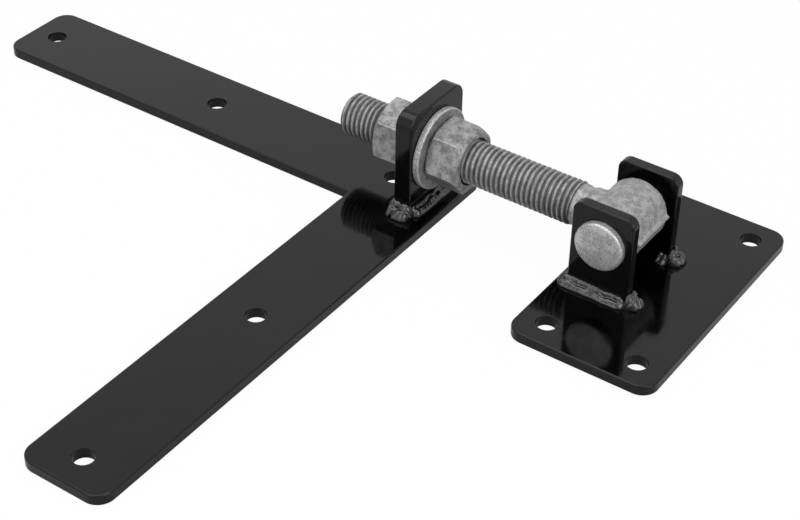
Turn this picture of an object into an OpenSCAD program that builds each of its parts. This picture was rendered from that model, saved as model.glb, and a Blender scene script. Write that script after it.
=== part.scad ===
// Adjustable gate hinge, in millimetres: a wall bracket with two ears, a threaded
// eyebolt that swings on a clevis pin, and an L-shaped gate strap whose lug is
// clamped between two nuts. The wall plate's back face lies on z = 0 about the
// origin, the eyebolt runs along -X, and the pin lies along Y.

/* [Wall plate] */
// Length of the wall plate, along the pin
plate_l = 150; // [120:1:200]
// Width of the wall plate, along the eyebolt
plate_w = 80; // [74:1:110]
// Thickness of the wall plate
plate_t = 6; // [5:0.5:8]
// Radius of the wall plate's corners
plate_corner_r = 9; // [4:0.5:12]
// Diameter of the screw holes in the wall plate
plate_hole_d = 11; // [8:0.5:14]
// Distance from the plate's long edges to its screw holes
plate_hole_inset_x = 15; // [12:0.5:18]
// Distance from the plate's short edges to its screw holes
plate_hole_inset_y = 15; // [10:0.5:30]

/* [Ears] */
// Width of each ear, along the eyebolt
ear_w = 34; // [32:0.5:42]
// Height of the ears above the wall plate
ear_h = 50.5; // [48:0.5:58]
// Thickness of each ear
ear_t = 6; // [5:0.5:8]
// Gap between the two ears
ear_gap = 38; // [36:0.5:44]
// Radius of the ears' top corners
ear_corner_r = 5.5; // [3:0.5:9]
// Distance from the wall plate's edge to the ears
ear_setback = 6; // [5:0.5:9]
// Place of the gap's middle along the plate, from the plate's middle
ear_mid_y = -1.5; // [-4:0.5:4]

/* [Clevis pin] */
// Diameter of the clevis pin
pin_d = 18; // [14:0.5:20]
// Diameter of the pin's head
pin_head_d = 26.5; // [24:0.5:31]
// Thickness of the pin's head
pin_head_t = 4; // [2:0.25:5]
// Bevel round the pin's head
pin_head_bevel = 1.2; // [0.4:0.1:1.5]
// Length of the pin beyond the far ear
pin_stub = 8; // [7:0.5:14]
// Radial clearance of the pin in the ears and in the eye
pin_clearance = 0.1; // [0.02:0.01:0.1]
// Diameter of the split pin's wire
wire_d = 2.2; // [1.6:0.1:2.4]

/* [Eyebolt] */
// Outer diameter of the thread
bolt_d = 23.5; // [22:0.5:24.5]
// Thread pitch
thread_pitch = 3; // [2:0.5:4]
// Depth of the thread
thread_depth = 1.5; // [0.8:0.1:1.8]
// Height of the bolt's axis above the plates' back faces
axis_h = 36.8; // [36:0.1:41]
// Length from the pin's axis to the bolt's free end
bolt_l = 166; // [150:1:260]
// Length from the pin's axis to the end of the thread
neck_l = 26; // [24:0.5:34]
// Diameter of the plain neck beside the thread
neck_d = 22.5; // [20:0.5:24]
// Outer diameter of the eye
eye_d = 33.5; // [30:0.5:36]
// Length of the eye along the pin
eye_l = 33; // [30:0.5:35]
// Gap left between the eye and the near ear
eye_side_gap = 0.3; // [0.1:0.1:0.9]
// How far the forging's parting line stands proud
flash_proud = 0.8; // [0.2:0.1:1.2]

/* [Gate strap] */
// Length of each arm of the strap, from the outer corner
strap_l = 300; // [260:1:450]
// Width of the strap's arms
strap_w = 50; // [49:1:60]
// Thickness of the strap
strap_t = 6; // [5:0.5:8]
// Radius of the corners at the ends of the arms
strap_corner_r = 9; // [4:0.5:15]
// Radius of the strap's outer corner, where its arms meet
strap_heel_r = 3; // [2:0.5:9]
// Diameter of the screw holes in the strap
strap_hole_d = 11; // [8:0.5:14]
// Distance from an arm's end to its first hole
strap_hole_inset = 17; // [14:0.5:24]
// Distance from the outer corner to the long arm's last hole
strap_heel_inset = 38; // [34:0.5:42]
// Gap between the wall plate and the strap
strap_gap = 77.5; // [72:0.5:90]

/* [Strap lug] */
// Width of the lug that stands on the strap
lug_w = 48; // [47:0.5:49]
// Height of the lug above the strap
lug_h = 59.5; // [56:0.5:66]
// Thickness of the lug
lug_t = 10; // [8:0.5:12]
// Radius of the lug's top corners
lug_corner_r = 8; // [4:0.5:12]
// Distance from the strap's edge to the lug
lug_setback = 11; // [9:0.5:14]
// Diameter of the bolt hole in the lug
lug_hole_d = 26; // [25.5:0.5:28]

/* [Nuts and washer] */
// Width of the nuts across their flats
nut_af = 33.2; // [32:0.1:38]
// Height of the nuts
nut_h = 20; // [16:0.5:22]
// Radial clearance between the nuts and the thread's crests
nut_clearance = 0.08; // [0.02:0.01:0.1]
// Angle at which the nut on the bolt side stands
inner_nut_turn = 40.5; // [0:0.5:60]
// Angle at which the nut on the gate side stands
outer_nut_turn = 51; // [0:0.5:60]
// Outer diameter of the washer
washer_d = 45; // [42:0.5:47]
// Thickness of the washer
washer_t = 3.5; // [2:0.25:5]
// Diameter of the washer's hole
washer_hole_d = 25; // [25:0.25:27]

/* [Welds] */
// Leg of the beads along the ears and the lug
weld_leg = 5.5; // [4:0.25:6.5]
// Leg of the heavier beads round the ends of the ears and of the lug
weld_end_leg = 8; // [6:0.25:9]
// Distance between the ripples of a weld bead
weld_ripple = 3; // [2:0.25:5]

/* [Hidden] */
$fn = 64;
powder_black = [0.03, 0.03, 0.03];
weld_black = [0.06, 0.06, 0.06];
zinc_grey = [0.55, 0.56, 0.57];
// Overrun of cuts past the faces that they open
over = 1;

// Places along the bolt
pin_x = ear_setback + ear_w / 2 - plate_w / 2;
strap_edge_x = -plate_w / 2 - strap_gap;
lug_face_x = strap_edge_x - lug_setback;
lug_back_x = lug_face_x - lug_t;
inner_nut_x = lug_face_x + washer_t;
// Places along the pin
ear_in_y = ear_gap / 2;
ear_out_y = ear_in_y + ear_t;
bolt_y = ear_mid_y + eye_l / 2 + eye_side_gap - ear_in_y;
// The lug is flush with the strap's inner edge
strap_mid_y = bolt_y + (strap_w - lug_w) / 2;
lug_near_y = bolt_y - lug_w / 2;

// Thread profile, as shares of the pitch, and the bevel at the free end
crest_share = 1 / 4;
root_share = 1 / 4;
flank_share = (1 - crest_share - root_share) / 2;
bolt_tip_bevel = thread_depth;
thread_turns = floor((bolt_l - neck_l - bolt_tip_bevel) / thread_pitch);
// Eye and neck
eye_bevel = eye_d / 24;
neck_waist_d = neck_d * 0.95;
neck_flare_d = neck_d * 1.03;
waist_share = 0.79;
flare_share = 0.69;
flash_wedge_share = 0.6;
// Nut chamfer: where it starts across the face, and how steep it is
nut_face_share = 0.95;
nut_chamfer_angle = 30;
nut_corner_r = nut_af / 2 / cos(30);
nut_mouth = bolt_d / 24;
washer_bevel = washer_t / 8;
// Pin
pin_end_bevel = pin_d / 12;
split_hole_d = wire_d * 2 + wire_d / 4;
split_y = ear_mid_y + ear_out_y + split_hole_d / 2 + wire_d / 8;
split_ring_r = wire_d * 1.45;
split_bend_r = wire_d * 1.9;
split_leg_d = wire_d * 0.9;
split_leg_apart = wire_d * 0.4;
split_bend_angle = 85;
// Screw holes: their pitches follow the plate and the strap, whose arms have the same
plate_hole_pitch_x = plate_w - 2 * plate_hole_inset_x;
plate_hole_pitch_y = plate_l - 2 * plate_hole_inset_y;
strap_hole_pitch = (strap_l - strap_hole_inset - strap_heel_inset) / 2;
// Welds: the beads stay clear of the plate's edge and of the washer, the near ear's
// bead runs past the ear's edge, and the end beads wrap round both corners
weld_edge_gap = plate_t / 12;
weld_washer_gap = strap_t / 12;
weld_near_leg = min(weld_leg, ear_setback - weld_edge_gap);
weld_lug_leg = min(weld_leg, axis_h - washer_d / 2 - strap_t - weld_washer_gap);
weld_overrun = weld_near_leg * 0.8;
weld_wrap = weld_end_leg * 0.3;
weld_end_share = 0.9;
weld_ripple_share = 0.035;
weld_steps = 4;
tack_l = ear_w / 5;

// A rectangle about the origin with round corners
module rounded_plate_2d(size_x, size_y, corner_r) {
    square([size_x - 2 * corner_r, size_y], center = true);
    square([size_x, size_y - 2 * corner_r], center = true);
    for (sx = [-1, 1], sy = [-1, 1])
        translate([sx * (size_x / 2 - corner_r), sy * (size_y / 2 - corner_r)])
            circle(r = corner_r);
}

// An upright tab standing on the x axis, round at its two top corners
module tab_2d(width, height, corner_r) {
    translate([-width / 2, 0])
        square([width, height - corner_r]);
    translate([corner_r - width / 2, 0])
        square([width - 2 * corner_r, height]);
    for (side = [-1, 1])
        translate([side * (width / 2 - corner_r), height - corner_r])
            circle(r = corner_r);
}

// Radius of a weld bead at a place along it: round ends and shallow ripples
function bead_r(s, run, leg) =
    let (from_end = min(s, run - s), round_l = leg * weld_end_share)
    let (ripple = 1 - weld_ripple_share * (1 - cos(360 * s / weld_ripple)) / 2)
    from_end >= round_l ? leg * ripple
    : leg * ripple * sqrt(1 - pow(1 - from_end / round_l, 2) * (1 - weld_ripple_share));

// A quarter-round bead in the corner between two faces: it runs along +Z, with
// one face on each of the planes x = 0 and y = 0
module weld_bead(run, leg) {
    steps = ceil(run / weld_ripple) * weld_steps;
    rotate_extrude(angle = 90)
        polygon(concat(
            [[0, 0]],
            [for (i = [0 : steps]) [bead_r(run * i / steps, run, leg), run * i / steps]],
            [[0, run]]
        ));
}

// A bead along +X, rising from the plane z = 0 against a face that looks towards -Y
module weld_along_x(run, leg) {
    rotate([90, 0, 90])
        rotate([0, 0, 90])
            weld_bead(run, leg);
}

// A bead along +Y, rising from the plane z = 0 against a face that looks towards +X
module weld_along_y(run, leg) {
    translate([0, run, 0])
        rotate([90, 0, 0])
            weld_bead(run, leg);
}

module ear_shape() {
    difference() {
        linear_extrude(ear_t)
            tab_2d(ear_w, ear_h, ear_corner_r);
        translate([0, axis_h - plate_t, -over])
            cylinder(d = pin_d + 2 * pin_clearance, h = ear_t + 2 * over);
    }
}

// A hexagon nut along +Z, chamfered at both faces and at the mouths of its thread
module hex_nut() {
    outer_r = nut_corner_r + over;
    face_r = nut_af / 2 * nut_face_share;
    rise = (outer_r - face_r) * tan(nut_chamfer_angle);
    difference() {
        intersection() {
            cylinder(r = nut_corner_r, h = nut_h, $fn = 6);
            rotate_extrude()
                polygon([
                    [0, 0], [face_r, 0], [outer_r, rise],
                    [outer_r, nut_h - rise], [face_r, nut_h], [0, nut_h]
                ]);
        }
        translate([0, 0, -over])
            cylinder(d = bolt_d + 2 * nut_clearance, h = nut_h + 2 * over);
        for (end = [0, 1])
            translate([0, 0, end * nut_h])
                mirror([0, 0, end])
                    cylinder(d1 = bolt_d + 2 * nut_mouth, d2 = bolt_d, h = nut_mouth);
    }
}

// The bolt's profile about its own axis, from the free end back to the eye
module bolt_profile_2d() {
    crest_r = bolt_d / 2;
    root_r = crest_r - thread_depth;
    thread_start = bolt_l - bolt_tip_bevel - thread_turns * thread_pitch;
    polygon(concat(
        [
            [0, 0],
            [neck_flare_d / 2, 0],
            [neck_flare_d / 2, neck_l * flare_share],
            [neck_waist_d / 2, neck_l * waist_share],
            [neck_d / 2, neck_l],
            [neck_d / 2, thread_start]
        ],
        [for (i = [0 : thread_turns - 1], step = [0 : 3])
            let (z0 = thread_start + i * thread_pitch)
            step == 0 ? [root_r, z0 + flank_share * thread_pitch]
            : step == 1 ? [root_r, z0 + (flank_share + root_share) * thread_pitch]
            : step == 2 ? [crest_r, z0 + (1 - crest_share) * thread_pitch]
            : [crest_r, z0 + thread_pitch]
        ],
        [
            [crest_r - bolt_tip_bevel, bolt_l],
            [0, bolt_l]
        ]
    ));
}

// The forged eye about the pin's axis, which is local Z
module eye_barrel() {
    rotate_extrude()
        polygon([
            [0, -eye_l / 2], [eye_d / 2 - eye_bevel, -eye_l / 2],
            [eye_d / 2, eye_bevel - eye_l / 2], [eye_d / 2, eye_l / 2 - eye_bevel],
            [eye_d / 2 - eye_bevel, eye_l / 2], [0, eye_l / 2]
        ]);
}

// The wedge that the forging's two halves leave along their parting line, on both
// sides of the eye
module eye_flash_2d() {
    tip = eye_d / 2 + flash_proud;
    polygon([[-tip, 0], [0, -tip * flash_wedge_share], [tip, 0], [0, tip * flash_wedge_share]]);
}

// Wall bracket

module wall_plate() {
    color(powder_black)
        difference() {
            linear_extrude(plate_t)
                rounded_plate_2d(plate_w, plate_l, plate_corner_r);
            for (sx = [-1, 1], sy = [-1, 1])
                translate([sx * plate_hole_pitch_x / 2, sy * plate_hole_pitch_y / 2, -over])
                    cylinder(d = plate_hole_d, h = plate_t + 2 * over);
        }
}

module near_ear() {
    color(powder_black)
        translate([pin_x, ear_mid_y - ear_in_y, plate_t])
            rotate([90, 0, 0])
                ear_shape();
}

module far_ear() {
    color(powder_black)
        translate([pin_x, ear_mid_y + ear_out_y, plate_t])
            rotate([90, 0, 0])
                ear_shape();
}

module near_ear_weld_outer() {
    color(weld_black)
        translate([pin_x - ear_w / 2 - weld_overrun, ear_mid_y - ear_out_y, plate_t])
            weld_along_x(ear_w + weld_overrun, weld_leg);
}

module near_ear_weld_end() {
    color(weld_black)
        translate([pin_x + ear_w / 2, ear_mid_y - ear_out_y - weld_wrap, plate_t])
            weld_along_y(ear_t + 2 * weld_wrap, weld_end_leg);
}

module near_ear_weld_start() {
    color(weld_black)
        translate([pin_x - ear_w / 2, ear_mid_y - ear_out_y, plate_t])
            mirror([1, 0, 0])
                weld_along_y(ear_t, weld_near_leg);
}

module far_ear_weld_outer() {
    color(weld_black)
        translate([pin_x - ear_w / 2, ear_mid_y + ear_out_y, plate_t])
            mirror([0, 1, 0])
                weld_along_x(ear_w, weld_leg);
}

module far_ear_weld_end() {
    color(weld_black)
        translate([pin_x + ear_w / 2, ear_mid_y + ear_in_y - weld_wrap, plate_t])
            weld_along_y(ear_t + 2 * weld_wrap, weld_end_leg);
}

module far_ear_weld_inner() {
    color(weld_black)
        translate([pin_x + ear_w / 2 - tack_l, ear_mid_y + ear_in_y, plate_t])
            weld_along_x(tack_l, weld_near_leg);
}

// Pin

module clevis_pin() {
    color(zinc_grey)
        translate([pin_x, ear_mid_y - ear_out_y - pin_head_t, axis_h])
            rotate([-90, 0, 0]) {
                shank_end = pin_head_t + 2 * ear_out_y + pin_stub;
                difference() {
                    rotate_extrude()
                        polygon([
                            [0, 0], [pin_head_d / 2 - pin_head_bevel, 0],
                            [pin_head_d / 2, pin_head_bevel], [pin_head_d / 2, pin_head_t],
                            [pin_d / 2, pin_head_t], [pin_d / 2, shank_end - pin_end_bevel],
                            [pin_d / 2 - pin_end_bevel, shank_end], [0, shank_end]
                        ]);
                    translate([-pin_d, 0, pin_head_t + ear_out_y - ear_mid_y + split_y])
                        rotate([0, 90, 0])
                            cylinder(d = split_hole_d, h = 2 * pin_d);
                }
            }
}

// A split pin through the clevis pin along X: a ring towards -X, a round shank, and
// two legs that curl apart where they leave the pin
module split_pin() {
    ring_x = (pin_d + wire_d) / 2 + split_ring_r + wire_d / 4;
    leg_x = (pin_d + wire_d) / 2;
    color(zinc_grey)
        translate([pin_x, split_y, axis_h])
            rotate([90, 0, 0]) {
                translate([-ring_x, 0, 0])
                    rotate_extrude()
                        translate([split_ring_r, 0])
                            circle(d = wire_d, $fn = 24);
                translate([split_ring_r - ring_x, 0, 0])
                    rotate([0, 90, 0])
                        cylinder(d = 2 * wire_d, h = ring_x - split_ring_r + leg_x);
                for (side = [0, 1])
                    mirror([0, side, 0])
                        translate([leg_x - wire_d / 4, split_leg_apart + split_bend_r, 0])
                            rotate([0, 0, -90])
                                rotate_extrude(angle = split_bend_angle)
                                    translate([split_bend_r, 0])
                                        circle(d = split_leg_d, $fn = 24);
            }
}

// Eyebolt

module eyebolt() {
    color(zinc_grey)
        translate([pin_x, bolt_y, axis_h])
            difference() {
                union() {
                    rotate([0, -90, 0])
                        rotate_extrude()
                            bolt_profile_2d();
                    rotate([90, 0, 0])
                        eye_barrel();
                    rotate([90, 0, 0])
                        linear_extrude(eye_l - 2 * eye_bevel, center = true)
                            eye_flash_2d();
                }
                rotate([90, 0, 0])
                    cylinder(d = pin_d + 2 * pin_clearance, h = eye_l + 2 * over, center = true);
            }
}

// Gate strap

module gate_strap() {
    color(powder_black)
        translate([strap_edge_x - strap_w / 2, strap_mid_y, 0])
            difference() {
                linear_extrude(strap_t) {
                    rounded_plate_2d(strap_w, strap_w, strap_heel_r);
                    for (turn = [90, 180])
                        rotate([0, 0, turn])
                            tab_2d(strap_w, strap_l - strap_w / 2, strap_corner_r);
                }
                first_hole = strap_l - strap_w / 2 - strap_hole_inset;
                for (i = [0 : 2])
                    translate([i * strap_hole_pitch - first_hole, 0, -over])
                        cylinder(d = strap_hole_d, h = strap_t + 2 * over);
                for (i = [0 : 1])
                    translate([0, i * strap_hole_pitch - first_hole, -over])
                        cylinder(d = strap_hole_d, h = strap_t + 2 * over);
            }
}

module strap_lug() {
    color(powder_black)
        difference() {
            translate([lug_back_x, bolt_y, strap_t])
                rotate([90, 0, 90])
                    linear_extrude(lug_t)
                        tab_2d(lug_w, lug_h, lug_corner_r);
            translate([lug_back_x - over, bolt_y, axis_h])
                rotate([0, 90, 0])
                    cylinder(d = lug_hole_d, h = lug_t + 2 * over);
        }
}

module lug_weld_bolt_side() {
    color(weld_black)
        translate([lug_face_x, lug_near_y, strap_t])
            weld_along_y(lug_w, weld_lug_leg);
}

module lug_weld_gate_side() {
    color(weld_black)
        translate([lug_back_x, lug_near_y, strap_t])
            mirror([1, 0, 0])
                weld_along_y(lug_w, weld_lug_leg);
}

module lug_weld_end() {
    color(weld_black)
        translate([lug_back_x - weld_wrap, lug_near_y, strap_t])
            weld_along_x(lug_t + 2 * weld_wrap, weld_end_leg);
}

// Washer and nuts

module bolt_washer() {
    color(zinc_grey)
        translate([lug_face_x, bolt_y, axis_h])
            rotate([0, 90, 0])
                difference() {
                    rotate_extrude()
                        polygon([
                            [0, 0], [washer_d / 2 - washer_bevel, 0], [washer_d / 2, washer_bevel],
                            [washer_d / 2, washer_t - washer_bevel],
                            [washer_d / 2 - washer_bevel, washer_t], [0, washer_t]
                        ]);
                    translate([0, 0, -over])
                        cylinder(d = washer_hole_d, h = washer_t + 2 * over);
                }
}

module inner_nut() {
    color(zinc_grey)
        translate([inner_nut_x, bolt_y, axis_h])
            rotate([0, 90, 0])
                rotate([0, 0, inner_nut_turn])
                    hex_nut();
}

module outer_nut() {
    color(zinc_grey)
        translate([lug_back_x - nut_h, bolt_y, axis_h])
            rotate([0, 90, 0])
                rotate([0, 0, outer_nut_turn])
                    hex_nut();
}

wall_plate();
near_ear();
far_ear();
near_ear_weld_outer();
near_ear_weld_end();
near_ear_weld_start();
far_ear_weld_outer();
far_ear_weld_end();
far_ear_weld_inner();
clevis_pin();
split_pin();
eyebolt();
gate_strap();
strap_lug();
lug_weld_bolt_side();
lug_weld_gate_side();
lug_weld_end();
bolt_washer();
inner_nut();
outer_nut();
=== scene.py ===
"""The looks of an adjustable gate hinge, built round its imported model.

A wall bracket with two ears carries a threaded eyebolt on a clevis pin, and an
L-shaped gate strap is clamped on the thread between two nuts. The bracket and the
strap are powder coated in glossy black, and the rest is hot-dip galvanised. Every
length is in metres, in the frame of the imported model: the eyebolt runs along X, the
clevis pin along Y, and the plates' back faces lie on z = 0.
"""

import logging
import math
from contextlib import contextmanager
from dataclasses import dataclass, replace
from enum import Enum
from typing import Callable, Iterator

import bmesh
import bpy
from mathutils import Matrix, Vector, noise


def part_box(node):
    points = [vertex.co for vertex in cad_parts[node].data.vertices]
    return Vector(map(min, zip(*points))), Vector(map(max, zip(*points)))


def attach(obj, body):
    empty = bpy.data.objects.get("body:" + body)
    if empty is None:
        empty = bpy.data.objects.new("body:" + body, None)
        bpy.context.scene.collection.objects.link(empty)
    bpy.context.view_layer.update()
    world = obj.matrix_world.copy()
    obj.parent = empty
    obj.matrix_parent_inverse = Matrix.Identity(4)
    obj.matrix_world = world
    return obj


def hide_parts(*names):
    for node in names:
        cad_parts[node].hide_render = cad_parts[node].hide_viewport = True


LOG = logging.getLogger("gate_hinge")
MILLIMETRE = 0.001
HALF_TURN = math.pi
FULL_TURN = 2 * math.pi
QUARTER_TURN = math.pi / 2
MERGE_DISTANCE = 0.002 * MILLIMETRE

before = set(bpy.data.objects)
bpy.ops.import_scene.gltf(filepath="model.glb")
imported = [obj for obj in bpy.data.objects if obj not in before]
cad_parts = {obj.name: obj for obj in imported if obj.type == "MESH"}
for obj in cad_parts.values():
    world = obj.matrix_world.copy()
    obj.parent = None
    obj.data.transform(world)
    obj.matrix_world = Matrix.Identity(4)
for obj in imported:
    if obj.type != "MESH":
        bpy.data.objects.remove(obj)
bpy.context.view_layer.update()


class Axis(Enum):
    """The direction in which a turned or drilled piece runs."""

    X = 0
    Y = 1
    Z = 2

    def turn(self) -> tuple[float, float, float]:
        """Gives the turn that takes a piece made along X to this axis."""
        return {
            Axis.X: (0.0, 0.0, 0.0),
            Axis.Y: (0.0, 0.0, QUARTER_TURN),
            Axis.Z: (0.0, -QUARTER_TURN, 0.0),
        }[self]


class Cut(Enum):
    """How one closed piece is combined with another."""

    ADD = "UNION"
    REMOVE = "DIFFERENCE"
    KEEP_COMMON = "INTERSECT"


# Editing helpers


def clear_selection() -> None:
    """Deselects every object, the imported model's nodes among them."""
    bpy.ops.object.select_all(action="DESELECT")


def pick(piece: bpy.types.Object) -> None:
    """Makes one object the only selected and the active one.

    Args:
        piece: The object to work on.
    """
    clear_selection()
    piece.select_set(True)
    bpy.context.view_layer.objects.active = piece


@contextmanager
def editing(piece: bpy.types.Object) -> Iterator[bmesh.types.BMesh]:
    """Opens a piece in edit mode with nothing selected.

    Args:
        piece: The object whose mesh is edited.

    Yields:
        The mesh in edit mode, in which faces and edges are selected by their place.
    """
    pick(piece)
    bpy.ops.object.mode_set(mode="EDIT")
    bpy.ops.mesh.select_mode(type="VERT")
    bpy.ops.mesh.select_all(action="DESELECT")
    yield bmesh.from_edit_mesh(piece.data)
    bpy.ops.object.mode_set(mode="OBJECT")


def settle(piece: bpy.types.Object) -> bpy.types.Object:
    """Moves a piece's place, turn and size into its mesh.

    Args:
        piece: The object to settle.

    Returns:
        The same object, now at the origin, unturned and unscaled.
    """
    pick(piece)
    bpy.ops.object.transform_apply(location=True, rotation=True, scale=True)
    return piece


def named(name: str) -> bpy.types.Object:
    """Names the primitive that was just added.

    Args:
        name: The name for the object and for its mesh.

    Returns:
        The object.
    """
    piece = bpy.context.object
    piece.name = name
    piece.data.name = name
    return piece


def apply_modifier(piece: bpy.types.Object, kind: str, **settings: object) -> None:
    """Adds one modifier and applies it at once.

    Args:
        piece: The object that is changed.
        kind: The modifier's type, as Blender names it.
        settings: The modifier's own settings.
    """
    modifier = piece.modifiers.new(kind.lower(), kind)
    for key, value in settings.items():
        setattr(modifier, key, value)
    pick(piece)
    bpy.ops.object.modifier_apply(modifier=modifier.name)


def combine(piece: bpy.types.Object, tool: bpy.types.Object, cut: Cut) -> None:
    """Adds, removes or keeps what two closed pieces share, and deletes the tool.

    Args:
        piece: The object that is changed.
        tool: The second object.
        cut: What is done with it.
    """
    apply_modifier(piece, "BOOLEAN", object=tool, operation=cut.value, solver="EXACT")
    bpy.data.objects.remove(tool)


def close_up(piece: bpy.types.Object) -> None:
    """Merges doubled points and turns every face outwards.

    Args:
        piece: The object to clean.
    """
    with editing(piece):
        bpy.ops.mesh.select_all(action="SELECT")
        bpy.ops.mesh.remove_doubles(threshold=MERGE_DISTANCE)
        bpy.ops.mesh.normals_make_consistent(inside=False)


def shave(piece: bpy.types.Object) -> None:
    """Removes the flaps without thickness that cuts through a fine mesh can leave.

    Args:
        piece: The closed object to clean.
    """
    with editing(piece) as mesh:
        bpy.ops.mesh.select_all(action="SELECT")
        bpy.ops.mesh.remove_doubles(threshold=MERGE_DISTANCE)
        bpy.ops.mesh.dissolve_degenerate(threshold=MERGE_DISTANCE)
        bpy.ops.mesh.quads_convert_to_tris(quad_method="BEAUTY", ngon_method="BEAUTY")
        bpy.ops.mesh.select_all(action="DESELECT")
        bpy.ops.mesh.select_mode(type="FACE")
        for face in mesh.faces:
            face.select_set(any(edge.is_boundary for edge in face.edges))
        bmesh.update_edit_mesh(piece.data)
        bpy.ops.mesh.delete(type="FACE")


def block(name: str, low: Vector, high: Vector) -> bpy.types.Object:
    """Adds a block between two corners.

    Args:
        name: The object's name.
        low: Its lowest corner.
        high: Its highest corner.

    Returns:
        The block.
    """
    bpy.ops.mesh.primitive_cube_add(size=1, location=(low + high) / 2, scale=high - low)
    return settle(named(name))


def line_up(name: str, points: list[tuple[float, float]]) -> bpy.types.Object:
    """Draws a line in the XZ plane by extruding one point from place to place.

    Args:
        name: The object's name.
        points: Distance along X and height of each point.

    Returns:
        An object that holds the open line.
    """
    bpy.ops.mesh.primitive_plane_add(size=MILLIMETRE)
    piece = named(name)
    with editing(piece):
        bpy.ops.mesh.select_all(action="SELECT")
        bpy.ops.mesh.merge(type="CENTER")
        bpy.ops.transform.translate(value=(points[0][0], 0, points[0][1]))
        for (x0, z0), (x1, z1) in zip(points, points[1:]):
            step = {"value": (x1 - x0, 0, z1 - z0)}
            bpy.ops.mesh.extrude_vertices_move(TRANSFORM_OT_translate=step)
    return piece


def lathe(
    name: str,
    points: list[tuple[float, float]],
    axis: Axis = Axis.X,
    origin: Vector = Vector(),
    steps: int = 96,
) -> bpy.types.Object:
    """Turns a profile into a round piece.

    Args:
        name: The object's name.
        points: Distance along the axis and radius of each point. The first and the
            last lie on the axis when the piece is solid.
        axis: The direction of the axis.
        origin: The place from which distances along the axis count.
        steps: How many faces go round.

    Returns:
        The closed piece.
    """
    piece = line_up(name, points)
    with editing(piece):
        bpy.ops.mesh.select_all(action="SELECT")
        bpy.ops.mesh.spin(steps=steps, angle=FULL_TURN, center=(0, 0, 0), axis=(1, 0, 0))
    close_up(piece)
    piece.rotation_euler = axis.turn()
    piece.location = origin
    return settle(piece)


def rod(
    axis: Axis, origin: Vector, start: float, end: float, radius: float
) -> bpy.types.Object:
    """Makes a plain round tool for drilling.

    Args:
        axis: The direction of the hole.
        origin: A point on its axis.
        start: Where the tool starts along the axis.
        end: Where it ends.
        radius: The hole's radius.

    Returns:
        The closed tool.
    """
    profile = [(start, 0), (start, radius), (end, radius), (end, 0)]
    return lathe("drill", profile, axis, origin, steps=72)


def round_off(
    piece: bpy.types.Object,
    axis: Axis,
    radius: float,
    chosen: Callable[[Vector], bool],
    segments: int = 10,
) -> None:
    """Rounds the edges of a block that run along one axis.

    Args:
        piece: The block.
        axis: The direction of the edges.
        radius: The corner radius.
        chosen: Says of an edge's middle whether that edge is rounded.
        segments: How many flat strips make each round.
    """
    with editing(piece) as mesh:
        bpy.ops.mesh.select_mode(type="EDGE")
        for edge in mesh.edges:
            first, second = (corner.co for corner in edge.verts)
            along = abs((second - first).normalized()[axis.value]) > 0.99
            edge.select_set(along and chosen((first + second) / 2))
        bmesh.update_edit_mesh(piece.data)
        bpy.ops.mesh.bevel(offset=radius, segments=segments, affect="EDGES")


def push_faces(
    piece: bpy.types.Object, axis: Axis, chosen: Callable[[Vector], bool], move: Vector
) -> None:
    """Extrudes chosen faces that stand square to one axis.

    Args:
        piece: The block.
        axis: The faces' normal.
        chosen: Says of a face's middle whether that face is extruded.
        move: How far and where the faces go.
    """
    with editing(piece) as mesh:
        bpy.ops.mesh.select_mode(type="FACE")
        for face in mesh.faces:
            square = abs(face.normal[axis.value]) > 0.99
            face.select_set(square and chosen(face.calc_center_median()))
        bmesh.update_edit_mesh(piece.data)
        bpy.ops.mesh.extrude_region_move(TRANSFORM_OT_translate={"value": move})


def soften(
    piece: bpy.types.Object, width: float, angle: float = 35.0, segments: int = 3
) -> None:
    """Breaks a piece's sharp edges and shades its faces smoothly.

    Args:
        piece: The object.
        width: The width of the broken edge.
        angle: The least angle in degrees of an edge that is broken.
        segments: How many strips make the round.
    """
    with editing(piece):
        bpy.ops.mesh.select_all(action="SELECT")
        bpy.ops.mesh.remove_doubles(threshold=MERGE_DISTANCE)
        bpy.ops.mesh.dissolve_limited(angle_limit=math.radians(0.1))
    pick(piece)
    bpy.ops.object.shade_smooth_by_angle(angle=math.radians(angle))
    apply_modifier(
        piece,
        "BEVEL",
        width=width,
        segments=segments,
        limit_method="ANGLE",
        angle_limit=math.radians(angle),
        harden_normals=True,
        use_clamp_overlap=True,
    )


def roughen(piece: bpy.types.Object, size: float, height: float, seed: float) -> None:
    """Moves a piece's points in and out along their normals, by a smooth noise.

    Args:
        piece: The object.
        size: The size of the lumps.
        height: How far the points move at the most.
        seed: Sets one piece's lumps apart from another's.
    """
    shift = Vector((seed, 2 * seed, 3 * seed))
    for vertex in piece.data.vertices:
        swell = noise.fractal(vertex.co / size + shift, 0.6, 2.0, 3)
        vertex.co += vertex.normal * height * swell


def bell(value: float, centre: float, width: float) -> float:
    """Gives 1 at a centre, falling smoothly to 0 on both sides of it."""
    return math.exp(-(((value - centre) / width) ** 2))


# Shader helpers


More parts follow.
